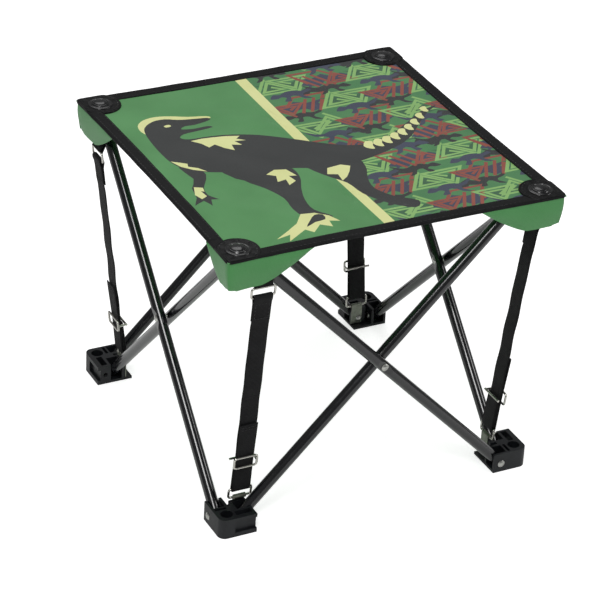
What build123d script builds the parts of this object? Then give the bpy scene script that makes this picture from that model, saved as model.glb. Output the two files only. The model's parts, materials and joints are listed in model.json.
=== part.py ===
from build123d import *
import os
from math import atan2, cos, degrees, hypot, radians, sin, sqrt

# Folding camp stool: four scissor pairs of steel tube between four plastic feet and four equal
# hubs under the corners of a square cloth seat, with a webbing strap at each corner.
# Millimetres, +Z up, origin on the ground under the middle of the seat, front towards -Y.
# Everything is made once at the front-left corner or the front side and turned by quarter turns.

os.makedirs("parts", exist_ok=True)

# Driving dimensions
seat_width = 370.0
seat_height = 323.0
seat_overhang = 8.0        # the seat's edge beyond a foot's outer face
pivot_inset = 31.0         # end pivot of a tube, from the foot's outer face beside it
tube_diameter = 12.0
tube_wall = 1.2
crossing_gap = 0.6         # between two tubes where they pass, beside the pressings
press_depth = 1.6          # how far a tube is pressed flat at its crossing
press_length = 9.0         # flat floor of the pressing
press_ramp = 7.0           # slope at each end of the pressing
rivet_diameter = 4.0
rivet_head_diameter = 8.0
rivet_head_height = 1.6
rivet_clearance = 0.05     # radial, in every rivet hole
head_gap = 0.2             # under a rivet head that turns against its neighbour
hub_size = 40.0
hub_height = 22.0
hub_base = 3.0
hub_wall = 2.6
hub_rib = 3.0
hub_anchor_wall = 4.0      # the wall that carries the strap tab
hub_corner_radius = 8.0
hub_small_radius = 2.5
hub_recess = 3.0
hub_rim = 4.0
hub_flange = 5.0
recess_start = 16.0
slot_gap = 0.4             # tube to slot wall
base_gap = 0.6             # tube end to hub base
socket_radius = 6.5
socket_inset = 11.0        # socket axis from both outer faces
pocket_wall = 2.0
window_radius = 2.5
window_margin = 0.8        # window to the wall beside it
cloth_thickness = 2.2
corner_stack = 5.0         # seat, patch and pocket layers together
cloth_gap = 0.4
corner_square = 45.0       # part of the seat that a corner pocket keeps
seat_corner_radius = 4.0
pocket_depth = 33.0
pocket_cloth = 1.2
pocket_nose = 12.0
wing_curve_place = 0.42    # middle of a wing's lower edge, as a share of its length
wing_curve_drop = 0.72     # and of its depth
wing_corner_drop = 0.85    # depth of a wing at the seat's corner
front_reach = (92.0, 92.0, 92.0, 92.0)   # pocket wings towards the next corner, by quarter turn
side_reach = (50.0, 96.0, 92.0, 92.0)    # pocket wings towards the corner before
button_diameter = 26.0
button_rim = 1.4
button_dome = 19.0
button_height = 4.6
button_shank = 5.0
button_gap = 0.1           # under the button's rim
clinch_diameter = 9.0
clinch_height = 1.5
webbing_width = 20.0
webbing_thickness = 1.4
webbing_gap = 0.5
strap_inset = 34.0         # strap centre from the outer face beside it
tab_width = 13.0
tab_thickness = 1.0
tab_foot = 4.0
tab_height = 26.0          # centre of its curl
wire_diameter = 2.4
wire_gap = 0.3
ring_side_room = 2.5       # webbing to the middle of a ring's side wire
ring_height = 11.0
ring_corner = 2.6
upper_ring_drop = 32.6     # its top bar below the roof of the upper hub
upper_ring_face = 6.4      # its top bar inside the edge of the seat
slider_middle = 48.0       # along the strap, from the lower ring's bottom bar
slider_height = 12.5
tail_end = 94.0
hem_length = 28.0          # doubled webbing sewn below the upper ring
hem_lap = 1.0              # single webbing let into the hem
slider_play = 2.0          # webbing to the slider's posts, both sides together
ring_play = 1.0            # lower end of the single webbing, above the lower ring
ring_tab_drop = 2.0        # top of the sewn ring tab below the hubs' roof
rivet_head_room = 1.0      # beside a rivet's head inside a hub
cut_over = 1.0             # how far a cut runs past the face it opens

# Worked out from the driving dimensions
foot_span = seat_width - 2 * seat_overhang           # outer face to outer face of two feet
pivot_span = foot_span - 2 * pivot_inset             # between the two end pivots of one side
tube_spacing = tube_diameter + crossing_gap          # between the axes of two crossing tubes
tube_radius = tube_diameter / 2
rivet_radius = rivet_diameter / 2
hole_radius = rivet_radius + rivet_clearance
wire_radius = wire_diameter / 2
ring_width = webbing_width + 2 * ring_side_room
half_slot = tube_radius + slot_gap
outer_axis = hub_wall + half_slot                  # outer tube, from the hub's outer face
inner_axis = outer_axis + tube_spacing             # inner tube, from the hub's outer face
slot_start = pivot_inset - half_slot
pivot_rise = hub_base + base_gap + tube_radius     # pivots above a foot's sole
hub_top = seat_height - corner_stack - cloth_gap   # roof of the upper hubs
upper_ring_height = hub_top - upper_ring_drop
low_pivot = pivot_rise
high_pivot = hub_top - pivot_rise
tube_length = hypot(pivot_span, high_pivot - low_pivot)
rest_angle = degrees(atan2(high_pivot - low_pivot, pivot_span))
press_floor = tube_radius - press_depth
anchor_face = inner_axis + half_slot + hub_anchor_wall
half_foot = foot_span / 2
half_seat = seat_width / 2
half_pivot = pivot_span / 2
cloth_under = seat_height - cloth_thickness

curl_radius = wire_radius + wire_gap
low_bar = (-half_foot + anchor_face - curl_radius, tab_height)            # y and z
high_bar = (-half_seat + upper_ring_face, upper_ring_height)
strap_length = hypot(high_bar[0] - low_bar[0], high_bar[1] - low_bar[1])
strap_lean = atan2(low_bar[0] - high_bar[0], high_bar[1] - low_bar[1])
strap_plane = Plane(
    origin=(-half_foot + strap_inset, low_bar[0], low_bar[1]),
    x_dir=(1, 0, 0),
    z_dir=(0, -cos(strap_lean), -sin(strap_lean)),
)

corners = ("front_left", "front_right", "back_right", "back_left")
sides = ("front", "right", "back", "left")


def write_turned(piece, places, suffix):
    """Write one copy of a front or front-left piece for each quarter turn about the Z axis."""
    for turn, place in enumerate(places):
        with BuildPart() as copy:
            add(piece.part.rotate(Axis.Z, 90 * turn))
        copy.part.label = f"{place}_{suffix}"
        export_step(copy.part, f"parts/{place}_{suffix}.step")


def box_between(low, high, mode=Mode.ADD):
    """A box from its lowest corner to its highest."""
    size = [b - a for a, b in zip(low, high)]
    middle = [(a + b) / 2 for a, b in zip(low, high)]
    with Locations(tuple(middle)):
        Box(*size, mode=mode)


def cap_height(radius, height):
    """Height of a round cap half way out from its middle."""
    ball = (radius**2 + height**2) / (2 * height)
    return sqrt(ball**2 - (radius / 2) ** 2) - (ball - height)


def make_rivet(grip):
    """A rivet with two domed heads. Its shank runs along +Z from one head seat at 0 to the other."""
    head_radius = rivet_head_diameter / 2
    half_sag = cap_height(head_radius, rivet_head_height)
    with BuildPart() as rivet:
        with BuildSketch(Plane.XZ):
            with BuildLine():
                ThreePointArc((0, -rivet_head_height), (head_radius / 2, -half_sag), (head_radius, 0))
                Polyline((head_radius, 0), (rivet_radius, 0), (rivet_radius, grip), (head_radius, grip))
                ThreePointArc(
                    (head_radius, grip), (head_radius / 2, grip + half_sag), (0, grip + rivet_head_height)
                )
                Line((0, grip + rivet_head_height), (0, -rivet_head_height))
            make_face()
        revolve(axis=Axis.Z)
    return rivet.part


def make_wire_loop(plane, width, height):
    """A rounded rectangle of wire in the given plane, whose origin is the middle of its lower bar."""
    with BuildSketch(plane) as outline:
        with Locations((0, height / 2)):
            RectangleRounded(width, height, ring_corner)
    path = outline.sketch.face().outer_wire()
    with BuildPart() as loop:
        with BuildSketch(Plane(origin=path @ 0, z_dir=path % 0)):
            Circle(wire_radius)
        sweep(path=path)
    return loop.part


def press_profile(floor):
    """Outline of what the press takes off at the middle of a tube, down to the given floor."""
    top = tube_radius + 1
    slope = (top - floor) / press_depth * press_ramp
    middle = tube_length / 2
    with BuildLine() as outline:
        Polyline(
            (middle - press_length / 2 - slope, top),
            (middle - press_length / 2, floor),
            (middle + press_length / 2, floor),
            (middle + press_length / 2 + slope, top),
            close=True,
        )
    add(outline.line)
    make_face()


# Tube along +X between its end pivots, rivet holes across Y, pressed flat on its +Y side
with BuildPart() as tube_core:
    with BuildSketch(Plane.YZ.offset(-tube_radius - cut_over)):
        Circle(tube_radius - tube_wall)
    extrude(amount=tube_length + 2 * (tube_radius + cut_over))
    with BuildSketch(Plane.XY):
        press_profile(press_floor - tube_wall)
    extrude(amount=tube_radius, both=True, mode=Mode.SUBTRACT)

with BuildPart() as tube:
    with BuildSketch(Plane.YZ.offset(-tube_radius - cut_over)):
        Circle(tube_radius)
    extrude(amount=tube_length + 2 * (tube_radius + cut_over))
    with BuildSketch(Plane.XZ):
        with Locations((tube_length / 2, 0)):
            SlotCenterToCenter(tube_length, tube_diameter + 0.2)
    extrude(amount=tube_radius + cut_over, both=True, mode=Mode.INTERSECT)
    with BuildSketch(Plane.XY):
        press_profile(press_floor)
    extrude(amount=tube_radius + cut_over, both=True, mode=Mode.SUBTRACT)
    add(tube_core.part, mode=Mode.SUBTRACT)
    with BuildSketch(Plane.XZ):
        with Locations((0, 0), (tube_length / 2, 0), (tube_length, 0)):
            Circle(hole_radius)
    extrude(amount=tube_radius + cut_over, both=True, mode=Mode.SUBTRACT)

tilt = radians(rest_angle)
inner_plane = Plane(
    origin=(-half_pivot, -half_foot + inner_axis, low_pivot),
    x_dir=(cos(tilt), 0, sin(tilt)),
    z_dir=(-sin(tilt), 0, cos(tilt)),
)
outer_plane = Plane(
    origin=(half_pivot, -half_foot + outer_axis, low_pivot),
    x_dir=(-cos(tilt), 0, sin(tilt)),
    z_dir=(sin(tilt), 0, cos(tilt)),
)

with BuildPart() as inner_tube:
    with Locations(inner_plane):
        add(tube.part)
write_turned(inner_tube, sides, "inner_tube")

with BuildPart() as outer_tube:
    with Locations(outer_plane):
        add(tube.part)
write_turned(outer_tube, sides, "outer_tube")


def add_rivets(plane, spans):
    """Rivets across a tube in its own plane: each span is its place along the tube and its two seats."""
    for along, near, far in spans:
        seat = Plane(origin=(along, near, 0), z_dir=(0, 1, 0))
        with Locations(plane.location * seat.location):
            add(make_rivet(far - near))


outward = half_slot + hub_rib + head_gap
inward = half_slot + hub_anchor_wall + head_gap
with BuildPart() as inner_rivets:
    add_rivets(
        inner_plane,
        (
            (0, -outward, inward + tab_thickness),
            (tube_length / 2, -tube_spacing - press_floor - head_gap, press_floor),
            (tube_length, -outward, inward),
        ),
    )
write_turned(inner_rivets, sides, "inner_rivets")

outer_seat = half_slot + hub_wall + head_gap
inner_seat = half_slot + hub_rib + head_gap
with BuildPart() as outer_rivets:
    add_rivets(outer_plane, ((0, -inner_seat, outer_seat), (tube_length, -inner_seat, outer_seat)))
write_turned(outer_rivets, sides, "outer_rivets")

# Hub from its outer corner at the origin, sole down: the feet stand on it, the upper hubs lie turned over
rib_face = outer_axis + half_slot + hub_rib
with BuildPart() as hub:
    with BuildSketch() as footprint:
        Rectangle(hub_size, hub_size, align=Align.MIN)
        near_corner = footprint.vertices().sort_by_distance((0, 0, 0))[0]
        other_corners = footprint.vertices().sort_by_distance((0, 0, 0))[1:]
        fillet(near_corner, hub_corner_radius)
        fillet(other_corners, hub_small_radius)
    extrude(amount=hub_height)
    # recessed wall between rim and flange
    box_between(
        (recess_start, -cut_over, hub_flange),
        (hub_size + cut_over, hub_recess, hub_height - hub_rim),
        Mode.SUBTRACT,
    )
    # slots for the outer tube, along Y, and for the inner tube, along X
    box_between(
        (outer_axis - half_slot, slot_start, hub_base),
        (outer_axis + half_slot, hub_size + cut_over, hub_height + cut_over),
        Mode.SUBTRACT,
    )
    box_between(
        (slot_start, inner_axis - half_slot, hub_base),
        (hub_size + cut_over, inner_axis + half_slot, hub_height + cut_over),
        Mode.SUBTRACT,
    )
    # open inner corner with the strap tab, and the room for the outer rivet's head
    box_between(
        (rib_face, anchor_face, hub_base),
        (hub_size + cut_over, hub_size + cut_over, hub_height + cut_over),
        Mode.SUBTRACT,
    )
    box_between(
        (rib_face, pivot_inset - rivet_head_diameter / 2 - rivet_head_room, hub_base),
        (slot_start - pocket_wall, hub_size + cut_over, hub_height + cut_over),
        Mode.SUBTRACT,
    )
    # moulded pockets beside the socket
    box_between(
        (hub_wall, socket_inset + socket_radius + pocket_wall, hub_base),
        (outer_axis + half_slot, slot_start - pocket_wall, hub_height + cut_over),
        Mode.SUBTRACT,
    )
    box_between(
        (socket_inset + socket_radius + pocket_wall, hub_recess + hub_wall, hub_base),
        (hub_size - hub_rib, inner_axis - half_slot - hub_rib, hub_height + cut_over),
        Mode.SUBTRACT,
    )
    # round socket, with a hole for the button's shank through the sole
    with Locations((socket_inset, socket_inset, hub_base)):
        Cylinder(socket_radius, hub_height, align=(Align.CENTER, Align.CENTER, Align.MIN), mode=Mode.SUBTRACT)
    with Locations((socket_inset, socket_inset, 0)):
        Cylinder(button_shank / 2 + rivet_clearance, 2 * (hub_base + cut_over), mode=Mode.SUBTRACT)
    # rivet holes for the outer tube, along X, and the inner tube, along Y
    with BuildSketch(Plane.YZ):
        with Locations((pivot_inset, pivot_rise)):
            Circle(hole_radius)
    extrude(amount=rib_face + cut_over, mode=Mode.SUBTRACT)
    with BuildSketch(Plane.XZ.offset(-anchor_face - cut_over)):
        with Locations((pivot_inset, pivot_rise)):
            Circle(hole_radius)
    extrude(amount=anchor_face - inner_axis + half_slot + hub_rib + 2 * cut_over, mode=Mode.SUBTRACT)
    # small window in the end of the long pocket
    with BuildSketch(Plane.YZ.offset(hub_size - hub_rib - cut_over)):
        with Locations((hub_recess + hub_wall + window_radius + window_margin, hub_height / 2)):
            Circle(window_radius)
    extrude(amount=hub_rib + 2 * cut_over, mode=Mode.SUBTRACT)

with BuildPart() as foot:
    with Locations((-half_foot, -half_foot, 0)):
        add(hub.part)
write_turned(foot, corners, "foot")

turned_over = Plane(origin=(-half_foot, -half_foot, hub_top), x_dir=(0, 1, 0), z_dir=(0, 0, -1))
with BuildPart() as upper_hub:
    with Locations(turned_over):
        add(hub.part)
write_turned(upper_hub, corners, "upper_hub")

# Steel tab held by the inner tube's rivet, with a curl round the lower ring
tab_low = -half_foot + strap_inset - tab_width / 2
tab_face = -half_foot + anchor_face
with BuildPart() as strap_tab:
    with BuildSketch(Plane.YZ.offset(tab_low)):
        with Locations((tab_face + tab_thickness / 2, (tab_foot + tab_height) / 2)):
            Rectangle(tab_thickness, tab_height - tab_foot)
        with Locations(low_bar):
            Circle(curl_radius + tab_thickness)
            Circle(curl_radius, mode=Mode.SUBTRACT)
    extrude(amount=tab_width)
    with BuildSketch(Plane.XZ.offset(-tab_face - tab_thickness - cut_over)):
        with Locations((-half_pivot, low_pivot)):
            Circle(hole_radius)
    extrude(amount=tab_thickness + 2 * cut_over, mode=Mode.SUBTRACT)
write_turned(strap_tab, corners, "strap_tab")

with BuildPart() as lower_ring:
    add(make_wire_loop(strap_plane, ring_width, ring_height))
write_turned(lower_ring, corners, "lower_ring")

with BuildPart() as upper_ring:
    start = strap_plane.location * Location((0, strap_length - ring_height, 0))
    add(make_wire_loop(Plane(start), ring_width, ring_height))
write_turned(upper_ring, corners, "upper_ring")


# Webbing of the strap, in a section across its width: along the strap and away from it
bend_inner = wire_radius + webbing_gap
bend_outer = bend_inner + webbing_thickness
section_plane = Plane(
    origin=strap_plane.from_local_coords((-webbing_width / 2, 0, 0)),
    x_dir=strap_plane.y_dir,
    z_dir=strap_plane.x_dir,
)


def leg(start, end, near, far):
    """One flat leg of webbing in the section plane."""
    with Locations(((start + end) / 2, (near + far) / 2)):
        Rectangle(end - start, far - near)


def bend(place, forwards):
    """Half a turn of webbing round a bar, open towards the legs."""
    turn = 180 if forwards else -180
    with BuildLine() as outline:
        upper = CenterArc((place, 0), bend_outer, 90, turn)
        lower = CenterArc((place, 0), bend_inner, 90, turn)
        Line(upper @ 0, lower @ 0)
        Line(upper @ 1, lower @ 1)
    add(outline.line)
    make_face()


with BuildPart() as lower_webbing:
    with BuildSketch(section_plane):
        bend(ring_height, True)
        leg(ring_height, tail_end, bend_inner, bend_outer)
        leg(ring_height, slider_middle, -bend_outer, -bend_inner)
    extrude(amount=webbing_width)
write_turned(lower_webbing, corners, "lower_webbing")

upper_bar = strap_length - ring_height
hem_end = upper_bar - hem_length
with BuildPart() as upper_webbing:
    with BuildSketch(section_plane):
        bend(upper_bar, False)
        leg(hem_end, upper_bar, bend_inner, bend_outer)
        leg(hem_end, upper_bar, -bend_outer, -bend_inner)
        leg(hem_end, hem_end + webbing_thickness, -bend_outer, bend_outer)
        single_start = ring_height + wire_radius + ring_play
        leg(single_start, hem_end + hem_lap, -webbing_thickness / 2, webbing_thickness / 2)
    extrude(amount=webbing_width)
write_turned(upper_webbing, corners, "upper_webbing")

# Wire slider: a frame in front of the webbing and one bar behind it
slider_front = bend_outer + wire_radius + wire_gap
slider_width = webbing_width + 2 * (wire_radius + wire_gap) + slider_play
with BuildPart() as slider:
    frame_low = Location((0, slider_middle - slider_height / 2, slider_front))
    add(make_wire_loop(Plane(strap_plane.location * frame_low), slider_width, slider_height))
    for edge in (-slider_width / 2, slider_width / 2):
        with Locations(strap_plane.location * Location((edge, slider_middle, 0))):
            Cylinder(wire_radius, 2 * slider_front)
    with Locations(strap_plane.location * Location((0, slider_middle, -slider_front), (0, 90, 0))):
        Cylinder(wire_radius, slider_width + 2 * wire_radius)
write_turned(slider, corners, "strap_slider")

# Domed button, its shank through the seat and the hub's roof, clinched inside the socket
clinch_top = hub_top - hub_base - head_gap
button_seat = seat_height + button_gap
dome_height = button_height - button_rim
with BuildPart() as button:
    with BuildSketch(Plane.XZ):
        with BuildLine():
            Polyline(
                (0, clinch_top - clinch_height),
                (clinch_diameter / 2, clinch_top - clinch_height),
                (clinch_diameter / 2, clinch_top),
                (button_shank / 2, clinch_top),
                (button_shank / 2, button_seat),
                (button_diameter / 2, button_seat),
                (button_diameter / 2, button_seat + button_rim),
                (button_dome / 2, button_seat + button_rim),
            )
            ThreePointArc(
                (button_dome / 2, button_seat + button_rim),
                (button_dome / 4, button_seat + button_rim + cap_height(button_dome / 2, dome_height)),
                (0, button_seat + button_height),
            )
            Line((0, button_seat + button_height), (0, clinch_top - clinch_height))
        make_face()
    revolve(axis=Axis.Z)
with BuildPart() as placed_button:
    with Locations((-half_foot + socket_inset, -half_foot + socket_inset, 0)):
        add(button.part)
write_turned(placed_button, corners, "button")


def wing_outline(reach):
    """Side of a corner pocket, from the corner of the seat inwards, hanging from zero."""
    with BuildLine() as outline:
        Line((0, 0), (reach, 0))
        ThreePointArc(
            (reach, 0),
            (pocket_nose + (reach - pocket_nose) * wing_curve_place, -pocket_depth * wing_curve_drop),
            (pocket_nose, -pocket_depth),
        )
        Polyline((pocket_nose, -pocket_depth), (0, -pocket_depth * wing_corner_drop), (0, 0))
    add(outline.line)
    make_face()


# Corner pocket: the seat's corner, a wing down each edge, and the tab that holds the upper ring
wing_top = cloth_under - cloth_gap
for turn, corner in enumerate(corners):
    with BuildPart() as pocket:
        with BuildSketch(Plane.XY.offset(seat_height - corner_stack)) as corner_top:
            with Locations((-half_seat, -half_seat)):
                Rectangle(corner_square, corner_square, align=Align.MIN)
            outer_corner = corner_top.vertices().sort_by_distance((-half_seat, -half_seat, seat_height))[0]
            fillet(outer_corner, seat_corner_radius)
            with Locations((-half_foot + socket_inset, -half_foot + socket_inset)):
                Circle(button_shank / 2 + cloth_gap, mode=Mode.SUBTRACT)
        extrude(amount=corner_stack)
        front_face = Plane(origin=(-half_seat, -half_seat, wing_top), x_dir=(1, 0, 0), z_dir=(0, -1, 0))
        with BuildSketch(front_face):
            wing_outline(front_reach[turn])
        extrude(amount=-pocket_cloth)
        side_face = Plane(origin=(-half_seat, -half_seat, wing_top), x_dir=(0, 1, 0), z_dir=(1, 0, 0))
        with BuildSketch(side_face):
            wing_outline(side_reach[turn])
        extrude(amount=pocket_cloth)
        # ring tab of webbing, sewn to the front wing
        with BuildSketch(Plane.YZ.offset(-half_foot + strap_inset - webbing_width / 2)):
            with Locations(high_bar):
                Circle(curl_radius + pocket_cloth)
                Circle(curl_radius, mode=Mode.SUBTRACT)
            tab_outer = high_bar[0] - curl_radius
            tab_top = hub_top - ring_tab_drop
            with Locations((tab_outer - pocket_cloth, high_bar[1])):
                Rectangle(pocket_cloth, tab_top - high_bar[1], align=Align.MIN)
            with Locations((-half_seat, tab_top - pocket_cloth)):
                Rectangle(tab_outer + half_seat, pocket_cloth, align=Align.MIN)
        extrude(amount=webbing_width)
    with BuildPart() as turned_pocket:
        add(pocket.part.rotate(Axis.Z, 90 * turn))
    turned_pocket.part.label = f"{corner}_pocket"
    export_step(turned_pocket.part, f"parts/{corner}_pocket.step")

# Seat cloth in four quarters that meet at the middle, clear of the corner pockets
seam = cloth_gap / 2
strip = half_seat - corner_square - cloth_gap
with BuildPart() as seat_quarter:
    with BuildSketch(Plane.XY.offset(cloth_under)):
        with BuildLine():
            Polyline(
                (-strip, -half_seat),
                (strip, -half_seat),
                (strip, -strip - seam * 2),
                (0, -seam * 2),
                (-strip, -strip - seam * 2),
                close=True,
            )
        make_face()
    extrude(amount=cloth_thickness)
write_turned(seat_quarter, sides, "seat_quarter")
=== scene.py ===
import json
from math import cos, pi, radians, sin

import bpy
from mathutils import Matrix, Vector, noise
from mathutils.geometry import delaunay_2d_cdt

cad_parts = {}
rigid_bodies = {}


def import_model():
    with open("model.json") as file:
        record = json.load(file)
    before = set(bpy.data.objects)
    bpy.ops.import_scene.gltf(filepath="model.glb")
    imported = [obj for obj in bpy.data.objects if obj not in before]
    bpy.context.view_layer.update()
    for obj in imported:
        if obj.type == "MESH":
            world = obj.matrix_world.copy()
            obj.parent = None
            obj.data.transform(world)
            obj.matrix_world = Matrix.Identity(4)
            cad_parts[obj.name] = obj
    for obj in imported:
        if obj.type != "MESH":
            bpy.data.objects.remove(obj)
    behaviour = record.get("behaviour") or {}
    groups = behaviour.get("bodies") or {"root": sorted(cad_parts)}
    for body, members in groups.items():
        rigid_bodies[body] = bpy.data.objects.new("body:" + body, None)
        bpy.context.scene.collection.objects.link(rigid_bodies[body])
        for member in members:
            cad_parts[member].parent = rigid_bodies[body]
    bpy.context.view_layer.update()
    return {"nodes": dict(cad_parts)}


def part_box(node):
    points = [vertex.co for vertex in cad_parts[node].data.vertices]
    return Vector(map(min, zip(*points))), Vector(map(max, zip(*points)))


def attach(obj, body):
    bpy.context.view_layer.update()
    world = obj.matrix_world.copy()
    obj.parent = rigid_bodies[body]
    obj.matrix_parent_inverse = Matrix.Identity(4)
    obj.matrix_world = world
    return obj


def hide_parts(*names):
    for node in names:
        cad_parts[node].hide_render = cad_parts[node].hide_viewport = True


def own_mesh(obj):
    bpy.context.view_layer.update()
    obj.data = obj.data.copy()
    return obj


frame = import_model()
for loaded in bpy.context.scene.objects:
    loaded.select_set(False)

MM = 0.001
CORNERS = ("front_left", "front_right", "back_right", "back_left")
SIDES = ("front", "right", "back", "left")

# Sizes of the soft parts, in metres. The seat's own size is the frame's.
seat_low, seat_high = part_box("front_seat_quarter")
HALF_SEAT = -seat_low.y
SEAT_TOP = seat_high.z
CORNER_SQUARE = 45 * MM        # part of the cloth that stays with a corner
EDGE_BOW = 2.4 * MM            # the cloth's edges are pulled in between the corners
SEAT_SAG = 2.0 * MM            # at the middle of the seat
CLOTH = 1.2 * MM
WEBBING_WIDTH = 20 * MM
WEBBING = 1.3 * MM
POCKET_DEPTH = 32 * MM
POCKET_NOSE = 11 * MM
# Lengths of the pocket wings from the seat's corner, by quarter turn
FRONT_REACH = (91 * MM, 91 * MM, 91 * MM, 91 * MM)
SIDE_REACH = (49 * MM, 95 * MM, 91 * MM, 91 * MM)
PRINT_CELL = 7 * MM            # spacing of the cloth's mesh
STITCH_WIDTH = 0.9 * MM
WAVE_PERIOD = pi / 10          # of a wave texture at scale 1, in metres


# ---------------------------------------------------------------- materials

def linear(code):
    """An sRGB hex colour as linear RGBA."""
    channels = [int(code[i:i + 2], 16) / 255 for i in (1, 3, 5)]
    return [c / 12.92 if c <= 0.04045 else ((c + 0.055) / 1.055) ** 2.4 for c in channels] + [1]


def add_node(tree, kind, settings=None, links=None):
    """Adds a shader node, sets its properties or inputs, and links inputs to sockets."""
    made = tree.nodes.new("ShaderNode" + kind)
    for key, value in (settings or {}).items():
        if isinstance(key, str) and hasattr(made, key):
            setattr(made, key, value)
        else:
            made.inputs[key].default_value = value
    for key, socket in (links or {}).items():
        tree.links.new(socket, made.inputs[key])
    return made


def new_material(name, settings):
    """A principled material with its uniform values set on the shader's own sockets."""
    material = bpy.data.materials.new(name)
    material.use_nodes = True
    tree = material.node_tree
    shader = tree.nodes["Principled BSDF"]
    for key, value in settings.items():
        shader.inputs[key].default_value = value
    return material, tree, shader


def vary_colour(tree, shader, source, low, high, scale):
    """Lets the base colour wander between two close colours over the surface."""
    clouds = add_node(tree, "TexNoise", {"Scale": scale, "Detail": 3.0}, {"Vector": source})
    ramp = add_node(tree, "ValToRGB", {}, {"Fac": clouds.outputs["Fac"]})
    ramp.color_ramp.elements[0].color = linear(low)
    ramp.color_ramp.elements[0].position = 0.3
    ramp.color_ramp.elements[1].color = linear(high)
    ramp.color_ramp.elements[1].position = 0.7
    tree.links.new(ramp.outputs["Color"], shader.inputs["Base Color"])


def vary_roughness(tree, shader, source, low, high, scale):
    """Lets the gloss wander between two values, as on a handled surface."""
    clouds = add_node(tree, "TexNoise", {"Scale": scale, "Detail": 4.0}, {"Vector": source})
    spread = add_node(
        tree, "MapRange", {"From Min": 0.3, "From Max": 0.7, "To Min": low, "To Max": high},
        {"Value": clouds.outputs["Fac"]},
    )
    tree.links.new(spread.outputs["Result"], shader.inputs["Roughness"])


def weave(tree, source, across, along):
    """Threads crossing at right angles, as a height from 0 to 1."""
    threads = []
    for direction, period in (("X", across), ("Y", along)):
        wave = {"wave_type": "BANDS", "bands_direction": direction, "Scale": WAVE_PERIOD / period,
                "Distortion": 0.0}
        threads.append(add_node(tree, "TexWave", wave, {"Vector": source}).outputs["Fac"])
    return add_node(tree, "Math", {"operation": "MULTIPLY"}, {0: threads[0], 1: threads[1]}).outputs[0]


def cloth_material(name, low, high, sheen=0.25):
    """Printed polyester: a dull plain weave. Threads of 0.7 mm are drawn at 1.4 mm so that they show."""
    material, tree, shader = new_material(
        name, {"Roughness": 0.78, "Sheen Weight": sheen, "Sheen Roughness": 0.5, "IOR": 1.45}
    )
    source = add_node(tree, "UVMap").outputs["UV"]
    vary_colour(tree, shader, source, low, high, 14.0)
    threads = weave(tree, source, 1.4 * MM, 1.4 * MM)
    relief = add_node(
        tree, "Bump", {"Distance": 0.25 * MM, "Strength": 0.6}, {"Height": threads}
    )
    tree.links.new(relief.outputs["Normal"], shader.inputs["Normal"])
    return material


def webbing_material():
    """Black polypropylene webbing: ribs across every 1.6 mm, fine threads along, a faint sheen."""
    material, tree, shader = new_material(
        "woven black polypropylene webbing",
        {"Roughness": 0.72, "Sheen Weight": 0.05, "Sheen Roughness": 0.4, "Specular IOR Level": 0.25},
    )
    source = add_node(tree, "UVMap").outputs["UV"]
    vary_colour(tree, shader, source, "#0c0c0d", "#141416", 90.0)
    threads = weave(tree, source, 1.1 * MM, 1.6 * MM)
    relief = add_node(
        tree, "Bump", {"Distance": 0.35 * MM, "Strength": 1.0}, {"Height": threads}
    )
    tree.links.new(relief.outputs["Normal"], shader.inputs["Normal"])
    return material


def tape_material():
    """Black polyester binding tape: fine ribs across its width and a low shine."""
    material, tree, shader = new_material(
        "ribbed black binding tape", {"Roughness": 0.68, "Sheen Weight": 0.03, "Specular IOR Level": 0.22}
    )
    source = add_node(tree, "UVMap").outputs["UV"]
    vary_colour(tree, shader, source, "#0b0c0d", "#131416", 70.0)
    wave = {"wave_type": "BANDS", "bands_direction": "X", "Scale": WAVE_PERIOD / (1.2 * MM),
            "Distortion": 0.0}
    ribs = add_node(tree, "TexWave", wave, {"Vector": source})
    relief = add_node(
        tree, "Bump", {"Distance": 0.2 * MM, "Strength": 0.8}, {"Height": ribs.outputs["Fac"]}
    )
    tree.links.new(relief.outputs["Normal"], shader.inputs["Normal"])
    return material


def patch_material():
    """Black vinyl-coated patch cloth: a pebbled grain of about 1 mm and a soft shine."""
    material, tree, shader = new_material(
        "grained black vinyl patch", {"Roughness": 0.4, "Specular IOR Level": 0.25}
    )
    source = add_node(tree, "TexCoord").outputs["Object"]
    vary_colour(tree, shader, source, "#070809", "#0e0f10", 60.0)
    grain = add_node(tree, "TexVoronoi", {"Scale": 900.0}, {"Vector": source})
    relief = add_node(
        tree, "Bump", {"Distance": 0.2 * MM, "Strength": 0.5}, {"Height": grain.outputs["Distance"]}
    )
    tree.links.new(relief.outputs["Normal"], shader.inputs["Normal"])
    return material


def tube_material():
    """Gloss black stoved enamel on steel tube: a sharp highlight, a trace of orange peel and scuffs."""
    material, tree, shader = new_material(
        "gloss black enamelled steel", {"Coat Weight": 0.8, "Coat Roughness": 0.05, "IOR": 1.52}
    )
    source = add_node(tree, "TexCoord").outputs["Object"]
    vary_colour(tree, shader, source, "#06070a", "#0d0f13", 25.0)
    vary_roughness(tree, shader, source, 0.14, 0.26, 40.0)
    peel = add_node(tree, "TexNoise", {"Scale": 420.0, "Detail": 1.0}, {"Vector": source})
    relief = add_node(
        tree, "Bump", {"Distance": 0.05 * MM, "Strength": 0.5}, {"Height": peel.outputs["Fac"]}
    )
    tree.links.new(relief.outputs["Normal"], shader.inputs["Normal"])
    return material


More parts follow.
